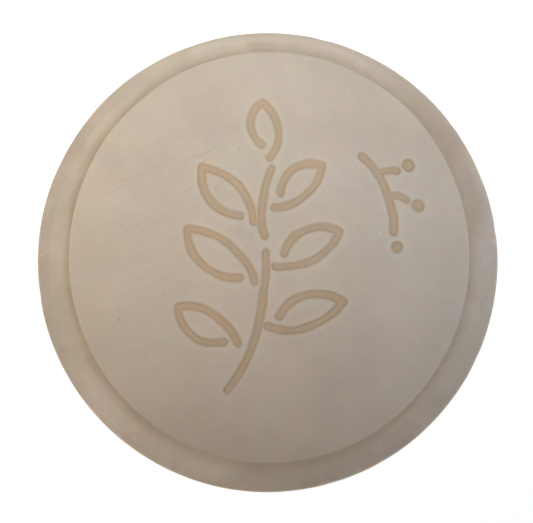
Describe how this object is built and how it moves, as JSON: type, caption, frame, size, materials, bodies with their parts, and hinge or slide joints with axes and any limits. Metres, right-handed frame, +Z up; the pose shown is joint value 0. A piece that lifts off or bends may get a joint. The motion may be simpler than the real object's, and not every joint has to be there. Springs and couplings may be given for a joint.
{
  "type": "shaving soap puck",
  "caption": "Round two-tier shaving soap puck: a wide dished base with a soft lip and a raised, slightly oval cake stamped with a leafy sprig.",
  "frame": {"origin": "centre of the round underside, on the surface the puck rests on", "axes": "+Z up through the stamped face, +Y towards the top of the stamped sprig, +X to its right"},
  "size_m": [0.076, 0.076, 0.021],
  "materials": {
    "base_soap": "satin",
    "cake_soap": "satin"
  },
  "bodies": {
    "root": {"soap_base": "base_soap", "soap_cake": "cake_soap"}
  },
  "joints": []
}
